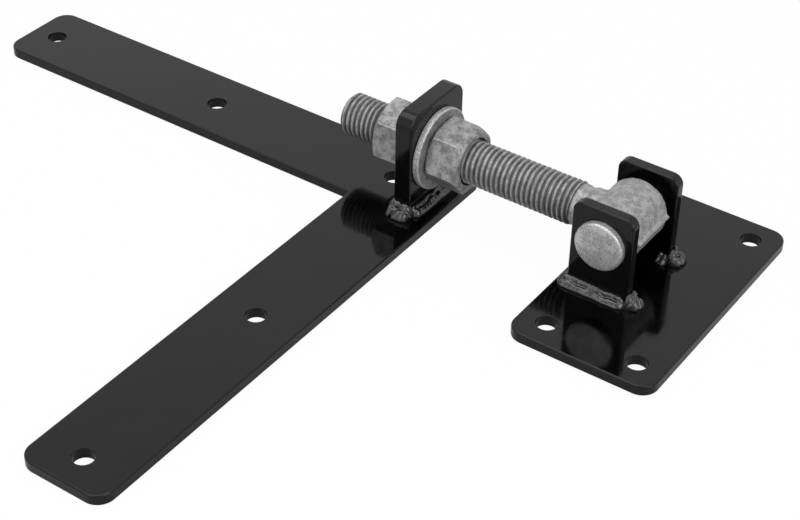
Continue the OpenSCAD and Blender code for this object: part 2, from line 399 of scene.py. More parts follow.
class Shader:
    """Adds nodes to one material or group and links them.

    Args:
        tree: The node tree to work in.
    """

    def __init__(self, tree: bpy.types.NodeTree) -> None:
        self.tree = tree

    def add(self, kind: str, settings: dict | None = None, **inputs: object) -> bpy.types.Node:
        """Adds a node, sets it up and fills its inputs.

        Args:
            kind: The node's type, as Blender names it.
            settings: The node's own properties.
            inputs: A value or a socket for each input, with _ for each space in its name.

        Returns:
            The node.
        """
        node = self.tree.nodes.new(kind)
        for key, value in (settings or {}).items():
            setattr(node, key, value)
        for key, value in inputs.items():
            self.fill(node.inputs[key.replace("_", " ")], value)
        return node

    def fill(self, socket: bpy.types.NodeSocket, value: object) -> None:
        """Links a socket to another, or sets its value."""
        if isinstance(value, bpy.types.NodeSocket):
            self.tree.links.new(value, socket)
        else:
            socket.default_value = value

    def shared(
        self, group: bpy.types.NodeTree, place: object, **inputs: object
    ) -> bpy.types.NodeSocket:
        """Adds a shared group over a place and gives its one result."""
        settings = {"node_tree": group}
        return self.add("ShaderNodeGroup", settings, Vector=place, **inputs).outputs[0]

    def maths(self, operation: str, *values: object) -> bpy.types.NodeSocket:
        """Adds a Math node and gives its result."""
        node = self.tree.nodes.new("ShaderNodeMath")
        node.operation = operation
        for socket, value in zip(node.inputs, values):
            self.fill(socket, value)
        return node.outputs[0]

    def ramp(self, value: object, low: float, high: float) -> bpy.types.NodeSocket:
        """Stretches the span between two values to the span from 0 to 1."""
        node = self.add(
            "ShaderNodeMapRange",
            {"interpolation_type": "SMOOTHSTEP"},
            Value=value,
            From_Min=low,
            From_Max=high,
        )
        return node.outputs["Result"]

    def blend(self, share: object, first: object, second: object) -> bpy.types.NodeSocket:
        """Mixes two colours and gives the result."""
        node = self.tree.nodes.new("ShaderNodeMix")
        node.data_type = "RGBA"
        self.fill(node.inputs[0], share)
        self.fill(node.inputs[6], first)
        self.fill(node.inputs[7], second)
        return node.outputs[2]


def blank(owner: bpy.types.Material | bpy.types.World) -> Shader:
    """Empties the node tree of a material or a world.

    Args:
        owner: The new material or world.

    Returns:
        A helper for its empty tree.
    """
    owner.use_nodes = True
    owner.node_tree.nodes.clear()
    return Shader(owner.node_tree)


def new_group(
    name: str, inputs: dict[str, float], outputs: dict[str, str]
) -> tuple[bpy.types.NodeTree, Shader, bpy.types.Node, bpy.types.Node]:
    """Makes an empty shader group with a Vector input.

    Args:
        name: The group's name.
        inputs: The name and the first value of each number that goes in.
        outputs: The name and the socket type of each result.

    Returns:
        The group, its shader helper, its input node and its output node.
    """
    group = bpy.data.node_groups.new(name, "ShaderNodeTree")
    group.interface.new_socket("Vector", in_out="INPUT", socket_type="NodeSocketVector")
    for label, value in inputs.items():
        socket = group.interface.new_socket(
            label, in_out="INPUT", socket_type="NodeSocketFloat"
        )
        socket.default_value = value
    for label, kind in outputs.items():
        group.interface.new_socket(label, in_out="OUTPUT", socket_type=kind)
    enter = group.nodes.new("NodeGroupInput")
    leave = group.nodes.new("NodeGroupOutput")
    return group, Shader(group), enter, leave


def make_mottle_group() -> bpy.types.NodeTree:
    """Builds the cloudy mask that varies a colour or a roughness.

    Returns:
        A group with Size, Low and High going in and Mask coming out.
    """
    group, shader, enter, leave = new_group(
        "mottle", {"Size": 0.01, "Low": 0.4, "High": 0.6}, {"Mask": "NodeSocketFloat"}
    )
    per_metre = shader.maths("DIVIDE", 1.0, enter.outputs["Size"])
    clouds = shader.add(
        "ShaderNodeTexNoise",
        Vector=enter.outputs["Vector"],
        Scale=per_metre,
        Detail=4.0,
        Roughness=0.6,
    )
    mask = shader.ramp(clouds.outputs["Fac"], enter.outputs["Low"], enter.outputs["High"])
    shader.fill(leave.inputs["Mask"], mask)
    return group


def make_speck_group() -> bpy.types.NodeTree:
    """Builds the mask of small scattered pits and specks.

    Returns:
        A group with Spacing, Radius and Share going in and Mask coming out.
    """
    group, shader, enter, leave = new_group(
        "specks",
        {"Spacing": 0.002, "Radius": 0.3, "Share": 0.5},
        {"Mask": "NodeSocketFloat"},
    )
    per_metre = shader.maths("DIVIDE", 1.0, enter.outputs["Spacing"])
    cells = shader.add("ShaderNodeTexVoronoi", Vector=enter.outputs["Vector"], Scale=per_metre)
    edge = shader.maths("MULTIPLY", enter.outputs["Radius"], 0.5)
    dots = shader.ramp(cells.outputs["Distance"], enter.outputs["Radius"], edge)
    tint = shader.add("ShaderNodeSeparateColor", Color=cells.outputs["Color"])
    present = shader.maths("LESS_THAN", tint.outputs["Red"], enter.outputs["Share"])
    shader.fill(leave.inputs["Mask"], shader.maths("MULTIPLY", dots, present))
    return group


def make_valley_group() -> bpy.types.NodeTree:
    """Builds a mask by the distance from an axis along X, up to a thread's end: dirt and painted
    shade in a thread's valleys, painted shade in a bore, a painted highlight on an outer edge.

    Returns:
        A group with the axis, the radii and the thread's end going in and Mask
        coming out.
    """
    labels = ("Centre Y", "Centre Z", "Root", "Crest", "End X", "Strength")
    group, shader, enter, leave = new_group(
        "valleys", dict.fromkeys(labels, 0.0), {"Mask": "NodeSocketFloat"}
    )
    at = shader.add("ShaderNodeSeparateXYZ", Vector=enter.outputs["Vector"])
    off_y = shader.maths("SUBTRACT", at.outputs["Y"], enter.outputs["Centre Y"])
    off_z = shader.maths("SUBTRACT", at.outputs["Z"], enter.outputs["Centre Z"])
    squares = shader.maths("MULTIPLY_ADD", off_y, off_y, shader.maths("MULTIPLY", off_z, off_z))
    radius = shader.maths("SQRT", squares)
    deep = shader.ramp(radius, enter.outputs["Crest"], enter.outputs["Root"])
    threaded = shader.maths("LESS_THAN", at.outputs["X"], enter.outputs["End X"])
    strength = shader.maths("MULTIPLY", threaded, enter.outputs["Strength"])
    shader.fill(leave.inputs["Mask"], shader.maths("MULTIPLY", deep, strength))
    return group


def make_skin_group() -> bpy.types.NodeTree:
    """Builds the height of a sprayed or dipped skin.

    Returns:
        A group with Size and Grain going in and Height coming out.
    """
    group, shader, enter, leave = new_group(
        "skin", {"Size": 0.001, "Grain": 0.3}, {"Height": "NodeSocketFloat"}
    )
    per_metre = shader.maths("DIVIDE", 1.0, enter.outputs["Size"])
    waves = shader.add(
        "ShaderNodeTexNoise",
        Vector=enter.outputs["Vector"],
        Scale=per_metre,
        Detail=2.0,
        Roughness=enter.outputs["Grain"],
    )
    shader.fill(leave.inputs["Height"], waves.outputs["Fac"])
    return group


@dataclass(frozen=True)
class PowderCoat:
    """A glossy black powder coat.

    Attributes:
        name: The material's name.
        black: The coat's own colour.
        haze: The colour of its paler clouds.
        gloss: The roughness where it is glossiest.
        dull: The roughness where it is dullest.
        peel: The size of the ripples of its skin.
        peel_height: The height of those ripples.
        specular: The strength of its mirror.
    """

    name: str
    black: tuple[float, float, float, float] = (0.0006, 0.0006, 0.0007, 1)
    haze: tuple[float, float, float, float] = (0.0016, 0.0016, 0.0017, 1)
    gloss: float = 0.07
    dull: float = 0.12
    peel: float = 2.2 * MILLIMETRE
    peel_height: float = 0.01 * MILLIMETRE
    specular: float = 0.3

    def build(self, groups: dict[str, bpy.types.NodeTree]) -> bpy.types.Material:
        """Builds the material.

        Args:
            groups: The shared shader groups by name.

        Returns:
            The material.
        """
        material = bpy.data.materials.new(self.name)
        shader = blank(material)
        place = shader.add("ShaderNodeTexCoord").outputs["Object"]
        clouds = shader.shared(
            groups["mottle"], place, Size=18 * MILLIMETRE, Low=0.42, High=0.66
        )
        nibs = shader.shared(
            groups["specks"], place, Spacing=5 * MILLIMETRE, Radius=0.05, Share=0.35
        )
        skin = shader.shared(groups["skin"], place, Size=self.peel, Grain=0.35)
        height = shader.maths("ADD", skin, shader.maths("MULTIPLY", nibs, 0.8))
        bump = shader.add(
            "ShaderNodeBump", Strength=1.0, Distance=self.peel_height, Height=height
        )
        span = self.dull - self.gloss
        rough = shader.maths("MULTIPLY_ADD", clouds, span, self.gloss)
        finish = shader.add(
            "ShaderNodeBsdfPrincipled",
            Base_Color=shader.blend(clouds, self.black, self.haze),
            Roughness=rough,
            Specular_IOR_Level=self.specular,
            Normal=bump.outputs["Normal"],
        )
        shader.add("ShaderNodeOutputMaterial", Surface=finish.outputs["BSDF"])
        return material


@dataclass(frozen=True)
class ThreadPlace:
    """Where a thread, a bore or an outer edge lies, for a mask: dirt and painted shade in a
    thread's valleys, painted shade in a bore, a painted highlight on an outer edge.

    Attributes:
        centre_y: The place of its axis along Y.
        centre_z: The place of its axis along Z.
        root: The radius at which the mask is strongest.
        crest: The radius at which it ends.
        end_x: Where the thread ends towards the eye.
        strength: How strong the mask is, from 0 to 1.
    """

    centre_y: float
    centre_z: float
    root: float
    crest: float
    end_x: float
    strength: float = 0.7

    def mask(
        self,
        shader: Shader,
        groups: dict[str, bpy.types.NodeTree],
        place: bpy.types.NodeSocket,
    ) -> bpy.types.NodeSocket:
        """Adds the mask to a material.

        Args:
            shader: The material's helper.
            groups: The shared shader groups by name.
            place: The object coordinates.

        Returns:
            The mask, 1 in the valleys at full strength.
        """
        return shader.shared(
            groups["valleys"],
            place,
            Centre_Y=self.centre_y,
            Centre_Z=self.centre_z,
            Root=self.root,
            Crest=self.crest,
            End_X=self.end_x,
            Strength=self.strength,
        )


@dataclass(frozen=True)
class Galvanised:
    """Hot-dip galvanised steel: dull, mottled zinc with small dark pits.

    Attributes:
        name: The material's name.
        pale: The colour of the brighter zinc.
        grey: The colour of the darker zinc.
        pit: The colour in the pits.
        patch: The size of the mottled patches.
        fine_share: How much of the mottling is fine.
        pit_spacing: The distance between the pits.
        pit_share: How many places have a pit.
        bright: The roughness of the brighter zinc.
        dull: The roughness of the darker zinc.
        grain_height: The height of the zinc's grain.
        metal: How much of it is bare metal rather than the pale skin on it.
        thread: The thread or the bore that is darkened, if it has one: dirt and painted shade in
            a thread's valleys, painted shade in a bore.
        corners: The outermost edges, where a painted highlight makes the zinc paler and less
            rough, if it has some.
    """

    name: str
    pale: tuple[float, float, float, float] = (0.36, 0.36, 0.36, 1)
    grey: tuple[float, float, float, float] = (0.17, 0.17, 0.173, 1)
    pit: tuple[float, float, float, float] = (0.06, 0.06, 0.06, 1)
    patch: float = 4 * MILLIMETRE
    fine_share: float = 0.35
    pit_spacing: float = 1.6 * MILLIMETRE
    pit_share: float = 0.3
    bright: float = 0.38
    dull: float = 0.6
    grain_height: float = 0.05 * MILLIMETRE
    metal: float = 0.45
    thread: ThreadPlace | None = None
    corners: ThreadPlace | None = None

    def build(self, groups: dict[str, bpy.types.NodeTree]) -> bpy.types.Material:
        """Builds the material.

        Args:
            groups: The shared shader groups by name.

        Returns:
            The material.
        """
        material = bpy.data.materials.new(self.name)
        shader = blank(material)
        place = shader.add("ShaderNodeTexCoord").outputs["Object"]
        patches = shader.shared(groups["mottle"], place, Size=self.patch, Low=0.38, High=0.62)
        fine = shader.shared(groups["mottle"], place, Size=self.patch / 5, Low=0.35, High=0.65)
        pits = shader.shared(
            groups["specks"],
            place,
            Spacing=self.pit_spacing,
            Radius=0.32,
            Share=self.pit_share,
        )
        grain = shader.shared(groups["skin"], place, Size=self.patch / 6, Grain=0.6)
        coarse = shader.maths("MULTIPLY", patches, 1 - self.fine_share)
        share = shader.maths("MULTIPLY_ADD", fine, self.fine_share, coarse)
        zinc = shader.blend(share, self.pale, self.grey)
        colour = shader.blend(shader.maths("MULTIPLY", pits, 0.7), zinc, self.pit)
        # Darkened towards the pit colour: dirt and painted shade in a thread's valleys, painted
        # shade in a bore.
        if self.thread is not None:
            colour = shader.blend(self.thread.mask(shader, groups, place), colour, self.pit)
        rough = shader.maths("MULTIPLY_ADD", share, self.dull - self.bright, self.bright)
        # Painted highlight: the outermost edges are blended towards pale grey and made less
        # rough.
        if self.corners is not None:
            edge = self.corners.mask(shader, groups, place)
            painted_highlight = shader.maths("MULTIPLY", edge, shader.maths("SUBTRACT", 1.2, fine))
            colour = shader.blend(painted_highlight, colour, (0.85, 0.85, 0.85, 1))
            rough = shader.maths("MULTIPLY_ADD", painted_highlight, -0.2, rough)
        height = shader.maths("SUBTRACT", grain, shader.maths("MULTIPLY", pits, 0.6))
        bump = shader.add(
            "ShaderNodeBump", Strength=1.0, Distance=self.grain_height, Height=height
        )
        finish = shader.add(
            "ShaderNodeBsdfPrincipled",
            Base_Color=colour,
            Roughness=rough,
            Metallic=self.metal,
            Normal=bump.outputs["Normal"],
        )
        shader.add("ShaderNodeOutputMaterial", Surface=finish.outputs["BSDF"])
        return material


class Finishes:
    """Every material of the hinge, built once."""

    def __init__(self) -> None:
        groups = {
            "mottle": make_mottle_group(),
            "specks": make_speck_group(),
            "skin": make_skin_group(),
            "valleys": make_valley_group(),
        }
        eye_low, eye_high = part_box("eyebolt")
        nut_low, nut_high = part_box("inner_nut")
        pin_low, pin_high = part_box("clevis_pin")
        # Dirt and painted shade in the eyebolt's thread valleys.
        thread = ThreadPlace(
            centre_y=(eye_low.y + eye_high.y) / 2,
            centre_z=(nut_low.z + nut_high.z) / 2,
            root=10.7 * MILLIMETRE,
            crest=11.72 * MILLIMETRE,
            end_x=(pin_low.x + pin_high.x) / 2 - 25 * MILLIMETRE,
        )
        # Painted shade in the bores and mouths of the nuts and the washer, darkened almost to
        # the pit colour.
        bore = replace(thread, root=12.6 * MILLIMETRE, crest=13.3 * MILLIMETRE, strength=0.95)
        # Painted highlight along the nuts' corners.
        corners = replace(thread, root=19.1 * MILLIMETRE, crest=18.85 * MILLIMETRE, strength=0.4)
        # Painted highlight along the washer's outer rim.
        rim = replace(thread, root=22.1 * MILLIMETRE, crest=21.3 * MILLIMETRE, strength=0.45)
        self.coat = PowderCoat("black_powder_coat").build(groups)
        self.weld_coat = PowderCoat(
            "coated_weld",
            black=(0.002, 0.002, 0.002, 1),
            haze=(0.006, 0.006, 0.006, 1),
            gloss=0.12,
            dull=0.22,
            peel=1.2 * MILLIMETRE,
            peel_height=0.015 * MILLIMETRE,
            specular=0.75,
        ).build(groups)
        self.forging = Galvanised(
            "galvanised_forging",
            pale=(0.39, 0.39, 0.39, 1),
            grey=(0.2, 0.2, 0.203, 1),
            thread=thread,
        ).build(groups)
        self.washer = Galvanised(
            "galvanised_washer",
            pale=(0.3, 0.3, 0.3, 1),
            grey=(0.14, 0.14, 0.143, 1),
            patch=3 * MILLIMETRE,
            thread=bore,
            corners=rim,
        ).build(groups)
        self.fastener = Galvanised(
            "galvanised_fastener",
            patch=5 * MILLIMETRE,
            pit_spacing=1.9 * MILLIMETRE,
            pit_share=0.35,
            bright=0.33,
            dull=0.52,
            grey=(0.13, 0.13, 0.133, 1),
            thread=bore,
            corners=corners,
        ).build(groups)
        self.pin = Galvanised(
            "galvanised_pin",
            pale=(0.68, 0.68, 0.68, 1),
            grey=(0.3, 0.3, 0.3, 1),
            patch=4 * MILLIMETRE,
            fine_share=0.55,
            pit_spacing=1.45 * MILLIMETRE,
            pit_share=0.6,
            bright=0.3,
            dull=0.45,
            metal=0.6,
        ).build(groups)


def dress(
    piece: bpy.types.Object,
    material: bpy.types.Material,
    body: str,
    slot: str,
    *nodes: str,
) -> None:
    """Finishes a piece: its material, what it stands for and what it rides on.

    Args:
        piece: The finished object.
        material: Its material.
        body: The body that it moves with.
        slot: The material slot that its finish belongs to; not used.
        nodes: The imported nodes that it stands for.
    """
    piece.data.materials.clear()
    piece.data.materials.append(material)
    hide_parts(*nodes)
    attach(piece, body)
    LOG.info("%s: %d faces, on %s", piece.name, len(piece.data.polygons), body)


@dataclass
class WeldBead:
    """A fillet weld in a corner between two faces, lumpy as a hand laid it.

    Attributes:
        leg: How far the bead reaches over each face.
        ripple: The distance between its ripples.
        swell: The share by which its lumps rise and fall.
        blunt: The length of its rounded ends as a share of the leg.
        fold: The depth of the slanting fold that parts a short bead in two lobes.
        fold_width: The width of that fold.
        lump_size: The size of its lumps.
        crease_angle: How high the crease beside the standing face lies, in radians.
        crease_width: The width of that crease, in radians.
        seed: Sets one bead apart from another.
    """

    leg: float
    ripple: float = 2.4 * MILLIMETRE
    swell: float = 0.12
    blunt: float = 0.8
    fold: float = 0.0
    fold_width: float = 0.7 * MILLIMETRE
    lump_size: float = 7 * MILLIMETRE
    crease_angle: float = 1.02
    crease_width: float = 0.12
    seed: float = 0.0

    def build(self, name: str, start: Vector, run: Vector, side: Vector) -> bpy.types.Object:
        """Lays the bead along a corner.

        Args:
            name: The object's name.
            start: Where the corner's line starts.
            run: The way to its end.
            side: The direction in which the plate lies, square to the run and level.

        Returns:
            The bead, closed, with its flat sides in the corner.
        """
        length = run.length
        bpy.ops.mesh.primitive_cylinder_add(
            vertices=48, radius=self.leg, depth=length, end_fill_type="TRIFAN"
        )
        piece = named(name)
        rings = max(8, int(length / (0.35 * MILLIMETRE)))
        with editing(piece) as mesh:
            bpy.ops.mesh.select_mode(type="EDGE")
            for edge in mesh.edges:
                first, second = (corner.co for corner in edge.verts)
                edge.select_set(abs(second.z - first.z) > length / 2)
            bmesh.update_edit_mesh(piece.data)
            bpy.ops.mesh.subdivide(number_cuts=rings, quadcorner="INNERVERT")
        along = run.normalized()
        up = Vector((0, 0, 1))
        for vertex in piece.data.vertices:
            vertex.co = self.place(vertex.co, length, along, side, up, start)
        close_up(piece)
        pick(piece)
        bpy.ops.object.shade_smooth()
        return piece

    def place(
        self,
        point: Vector,
        length: float,
        along: Vector,
        side: Vector,
        up: Vector,
        start: Vector,
    ) -> Vector:
        """Gives the place of one point of the straight bar on the finished bead."""
        s = point.z + length / 2
        flat = Vector((point.x, point.y, 0))
        angle = math.atan2(flat.y, flat.x)
        reach = flat.length / self.leg
        middle = math.sin(2 * angle) ** 2 if 0 < angle < QUARTER_TURN else 0.0
        end = max(0.0, 1 - min(s, length - s) / (self.blunt * self.leg))
        round_end = math.sqrt(max(0.0, 1 - 0.96 * end * end))
        wave = 0.5 + 0.5 * math.cos(FULL_TURN * (s - 0.35 * self.leg * middle) / self.ripple)
        spot = start + along * s + side * flat.x + up * flat.y
        shift = Vector((self.seed, -self.seed, 2 * self.seed))
        lumps = noise.fractal(spot / self.lump_size + shift, 0.8, 2.0, 2)
        wander = noise.noise(Vector((s / (5 * MILLIMETRE), self.seed, 0)))
        depth = 0.16 + 0.3 * max(0.0, noise.noise(Vector((s / (4 * MILLIMETRE), 0, self.seed))))
        crease = depth * bell(angle, self.crease_angle + 0.3 * wander, self.crease_width)
        slant = length * (0.3 + 0.25 * angle / QUARTER_TURN)
        fold = self.fold * bell(s, slant, self.fold_width)
        size = 1 - 0.14 * middle - 0.02 * wave + self.swell * lumps * middle - crease - fold
        radius = self.leg * reach * round_end * size
        turned = Vector((math.cos(angle), math.sin(angle)))
        if turned.x < 0 or turned.y < 0:
            radius = min(radius, 0.4 * self.leg)
        return start + along * s + side * (radius * turned.x) + up * (radius * turned.y)


@dataclass
class HexNut:
    """A thick galvanised hexagon nut on the bolt's axis.

    Attributes:
        node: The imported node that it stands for.
        turn: The angle at which it stands, in degrees.
        across: Its width across the flats.
        bore: The radius of its thread's crests.
        mouth: The width of the countersink at each face.
        face_share: The flat face's diameter as a share of the width across flats.
        slope: The angle of the chamfer to the flat face.
    """

    node: str
    turn: float
    across: float = 33.2 * MILLIMETRE
    bore: float = 11.92 * MILLIMETRE
    mouth: float = 1.1 * MILLIMETRE
    face_share: float = 0.93
    slope: float = math.radians(34)

    def build(self, finishes: Finishes) -> None:
        """Builds the nut and dresses it.

        Args:
            finishes: The hinge's materials.
        """
        low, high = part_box(self.node)
        height = high.x - low.x
        centre = Vector((low.x, (low.y + high.y) / 2, (low.z + high.z) / 2))
        corner = self.across / 2 / math.cos(math.pi / 6)
        bpy.ops.mesh.primitive_cylinder_add(
            vertices=6,
            radius=corner,
            depth=height,
            rotation=(0, QUARTER_TURN, 0),
            location=centre + Vector((height / 2, 0, 0)),
        )
        nut = settle(named("galvanised_" + self.node))
        self.stand(nut, centre)
        face = self.across / 2 * self.face_share
        outer = corner + MILLIMETRE
        rise = (outer - face) * math.tan(self.slope)
        chamfer = [
            (0, 0),
            (0, face),
            (rise, outer),
            (height - rise, outer),
            (height, face),
            (height, 0),
        ]
        combine(nut, lathe("chamfer", chamfer, Axis.X, centre, steps=120), Cut.KEEP_COMMON)
        wide = self.bore + self.mouth
        over = MILLIMETRE
        bore = [
            (-over, 0),
            (-over, wide),
            (0, wide),
            (1.6 * self.mouth, wide - 0.2 * self.mouth),
            (2.4 * self.mouth, self.bore),
            (height - 2.4 * self.mouth, self.bore),
            (height - 1.6 * self.mouth, wide - 0.2 * self.mouth),
            (height, wide),
            (height + over, wide),
            (height + over, 0),
        ]
        combine(nut, lathe("bore", bore, Axis.X, centre), Cut.REMOVE)
        soften(nut, 0.5 * MILLIMETRE, angle=24)
        dress(nut, finishes.fastener, self.node, "zinc_fastener", self.node)

    def stand(self, nut: bpy.types.Object, centre: Vector) -> None:
        """Turns the hexagon about the bolt so that its corners stand as the node's do."""
        corners = [v.co - centre for v in nut.data.vertices]
        first = math.degrees(math.atan2(corners[0].y, -corners[0].z))
        turn = Matrix.Rotation(math.radians(self.turn - first), 4, "X")
        place = Matrix.Translation(centre)
        nut.data.transform(place @ turn @ place.inverted())


@dataclass
class WallBracket:
    """The wall plate, its two ears and their welds, under one black coat.

    Attributes:
        corner: The radius of the wall plate's corners.
        ear_corner: The radius of the ears' top corners.
        hole: The radius of the screw holes.
        pitch: The distances between the screw holes along X and Y.
        pin_hole: The radius of the ears' holes.
        edge: The width of the coated edges' round.
        rim: The width of the round at the holes.
        body: The body that all of it belongs to.
    """

    corner: float = 9 * MILLIMETRE
    ear_corner: float = 5.5 * MILLIMETRE
    hole: float = 5.5 * MILLIMETRE
    pitch: tuple[float, float] = (50 * MILLIMETRE, 120 * MILLIMETRE)
    pin_hole: float = 9.1 * MILLIMETRE
    edge: float = 0.9 * MILLIMETRE
    rim: float = 0.35 * MILLIMETRE
    body: str = "wall_bracket"

    def build(self, finishes: Finishes) -> None:
        """Builds the bracket's pieces and dresses them.

        Args:
            finishes: The hinge's materials.
        """
        self.plate(finishes)
        for node in ("near_ear", "far_ear"):
            self.ear(node, finishes)
        self.welds(finishes)

    def plate(self, finishes: Finishes) -> None:
        """Builds the wall plate with its four screw holes."""
        low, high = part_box("wall_plate")
        plate = block("coated_wall_plate", low, high)
        round_off(plate, Axis.Z, self.corner, lambda middle: True)
        soften(plate, self.edge)
        for side_x in (-1, 1):
            for side_y in (-1, 1):
                centre = Vector((side_x * self.pitch[0] / 2, side_y * self.pitch[1] / 2, 0))
                drill = rod(Axis.Z, centre, -MILLIMETRE, high.z + MILLIMETRE, self.hole)
                combine(plate, drill, Cut.REMOVE)
        soften(plate, self.rim)
        dress(plate, finishes.coat, self.body, "powder_coat", "wall_plate")

    def ear(self, node: str, finishes: Finishes) -> None:
        """Builds one ear with its pin hole.

        Args:
            node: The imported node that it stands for.
            finishes: The hinge's materials.
        """
        low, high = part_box(node)
        pin_low, pin_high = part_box("clevis_pin")
        ear = block("coated_" + node, low, high)
        round_off(ear, Axis.Y, self.ear_corner, lambda middle: middle.z > high.z - MILLIMETRE)
        centre = Vector(((low.x + high.x) / 2, low.y, (pin_low.z + pin_high.z) / 2))
        drill = rod(Axis.Y, centre, -MILLIMETRE, high.y - low.y + MILLIMETRE, self.pin_hole)
        combine(ear, drill, Cut.REMOVE)
        soften(ear, self.edge)
        dress(ear, finishes.coat, self.body, "powder_coat", node)

    def welds(self, finishes: Finishes) -> None:
        """Lays the six beads at the feet of the ears."""
        for number, (node, run, side) in enumerate(
            (
                ("near_ear_weld_outer", Axis.X, Vector((0, -1, 0))),
                ("near_ear_weld_end", Axis.Y, Vector((1, 0, 0))),
                ("near_ear_weld_start", Axis.Y, Vector((-1, 0, 0))),
                ("far_ear_weld_outer", Axis.X, Vector((0, 1, 0))),
                ("far_ear_weld_end", Axis.Y, Vector((1, 0, 0))),
                ("far_ear_weld_inner", Axis.X, Vector((0, -1, 0))),
            )
        ):
            bead = lay_bead(node, run, side, seed=1.7 * (number + 1))
            dress(bead, finishes.weld_coat, self.body, "coated_weld", node)


def lay_bead(node: str, run: Axis, side: Vector, seed: float) -> bpy.types.Object:
    """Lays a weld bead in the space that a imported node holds.

    A bead that is short for its height is a blunt lump with a fold across it.

    Args:
        node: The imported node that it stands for.
        run: The direction of the corner.
        side: The direction in which the bead reaches over the plate.
        seed: Sets one bead apart from another.

    Returns:
        The bead.
    """
    low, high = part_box(node)
    start = Vector(
        tuple(
            low[i] if side[i] > 0 or i in (run.value, 2) else high[i]
            for i in range(3)
        )
    )
    way = Vector((0, 0, 0))
    way[run.value] = high[run.value] - low[run.value]
    bead = WeldBead(leg=high.z - low.z, seed=seed)
    if way.length < 2 * bead.leg:
        bead.blunt = 0.5
        bead.fold = 0.22
    return bead.build("bead_" + node, start, way, side)


@dataclass
class ClevisPin:
    """The headed pin and the split pin that holds it.

    Attributes:
        shank: The pin's radius.
        head: The head's thickness.
        head_round: The radius of the head's edge.
        end_bevel: The bevel at the pin's end.
    """

    shank: float = 9 * MILLIMETRE
    head: float = 4 * MILLIMETRE
    head_round: float = 1.3 * MILLIMETRE
    end_bevel: float = 1.5 * MILLIMETRE

    def build(self, finishes: Finishes) -> None:
        """Builds the pin and dresses both pieces.

        Args:
            finishes: The hinge's materials.
        """
        low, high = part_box("clevis_pin")
        radius = (high.z - low.z) / 2
        origin = Vector(((low.x + high.x) / 2, low.y, (low.z + high.z) / 2))
        length = high.y - low.y
        crown = 0.35 * MILLIMETRE
        rim = [
            (
                crown + self.head_round * (1 - math.cos(angle)),
                radius - self.head_round * (1 - math.sin(angle)),
            )
            for angle in (QUARTER_TURN * i / 6 for i in range(7))
        ]
        dome = [(crown * i / 4, math.sqrt(i / 4) * (radius - self.head_round)) for i in range(4)]
        profile = dome + rim + [
            (self.head, radius),
            (self.head, self.shank),
            (length - self.end_bevel, self.shank),
            (length, self.shank - self.end_bevel),
            (length, 0),
        ]
        pin = lathe("galvanised_clevis_pin", profile, Axis.Y, origin)
        split_low, split_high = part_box("split_pin")
        centre = (split_low + split_high) / 2
        centre.x = origin.x
        drill = rod(Axis.X, centre, -1.2 * radius, 1.2 * radius, 2.5 * MILLIMETRE)
        combine(pin, drill, Cut.REMOVE)
        shave(pin)
        pick(pin)
        bpy.ops.object.shade_smooth_by_angle(angle=math.radians(32))
        dress(pin, finishes.pin, "pin", "zinc_pin", "clevis_pin")
        split_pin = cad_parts["split_pin"]
        split_pin.data.materials.clear()
        split_pin.data.materials.append(finishes.fastener)


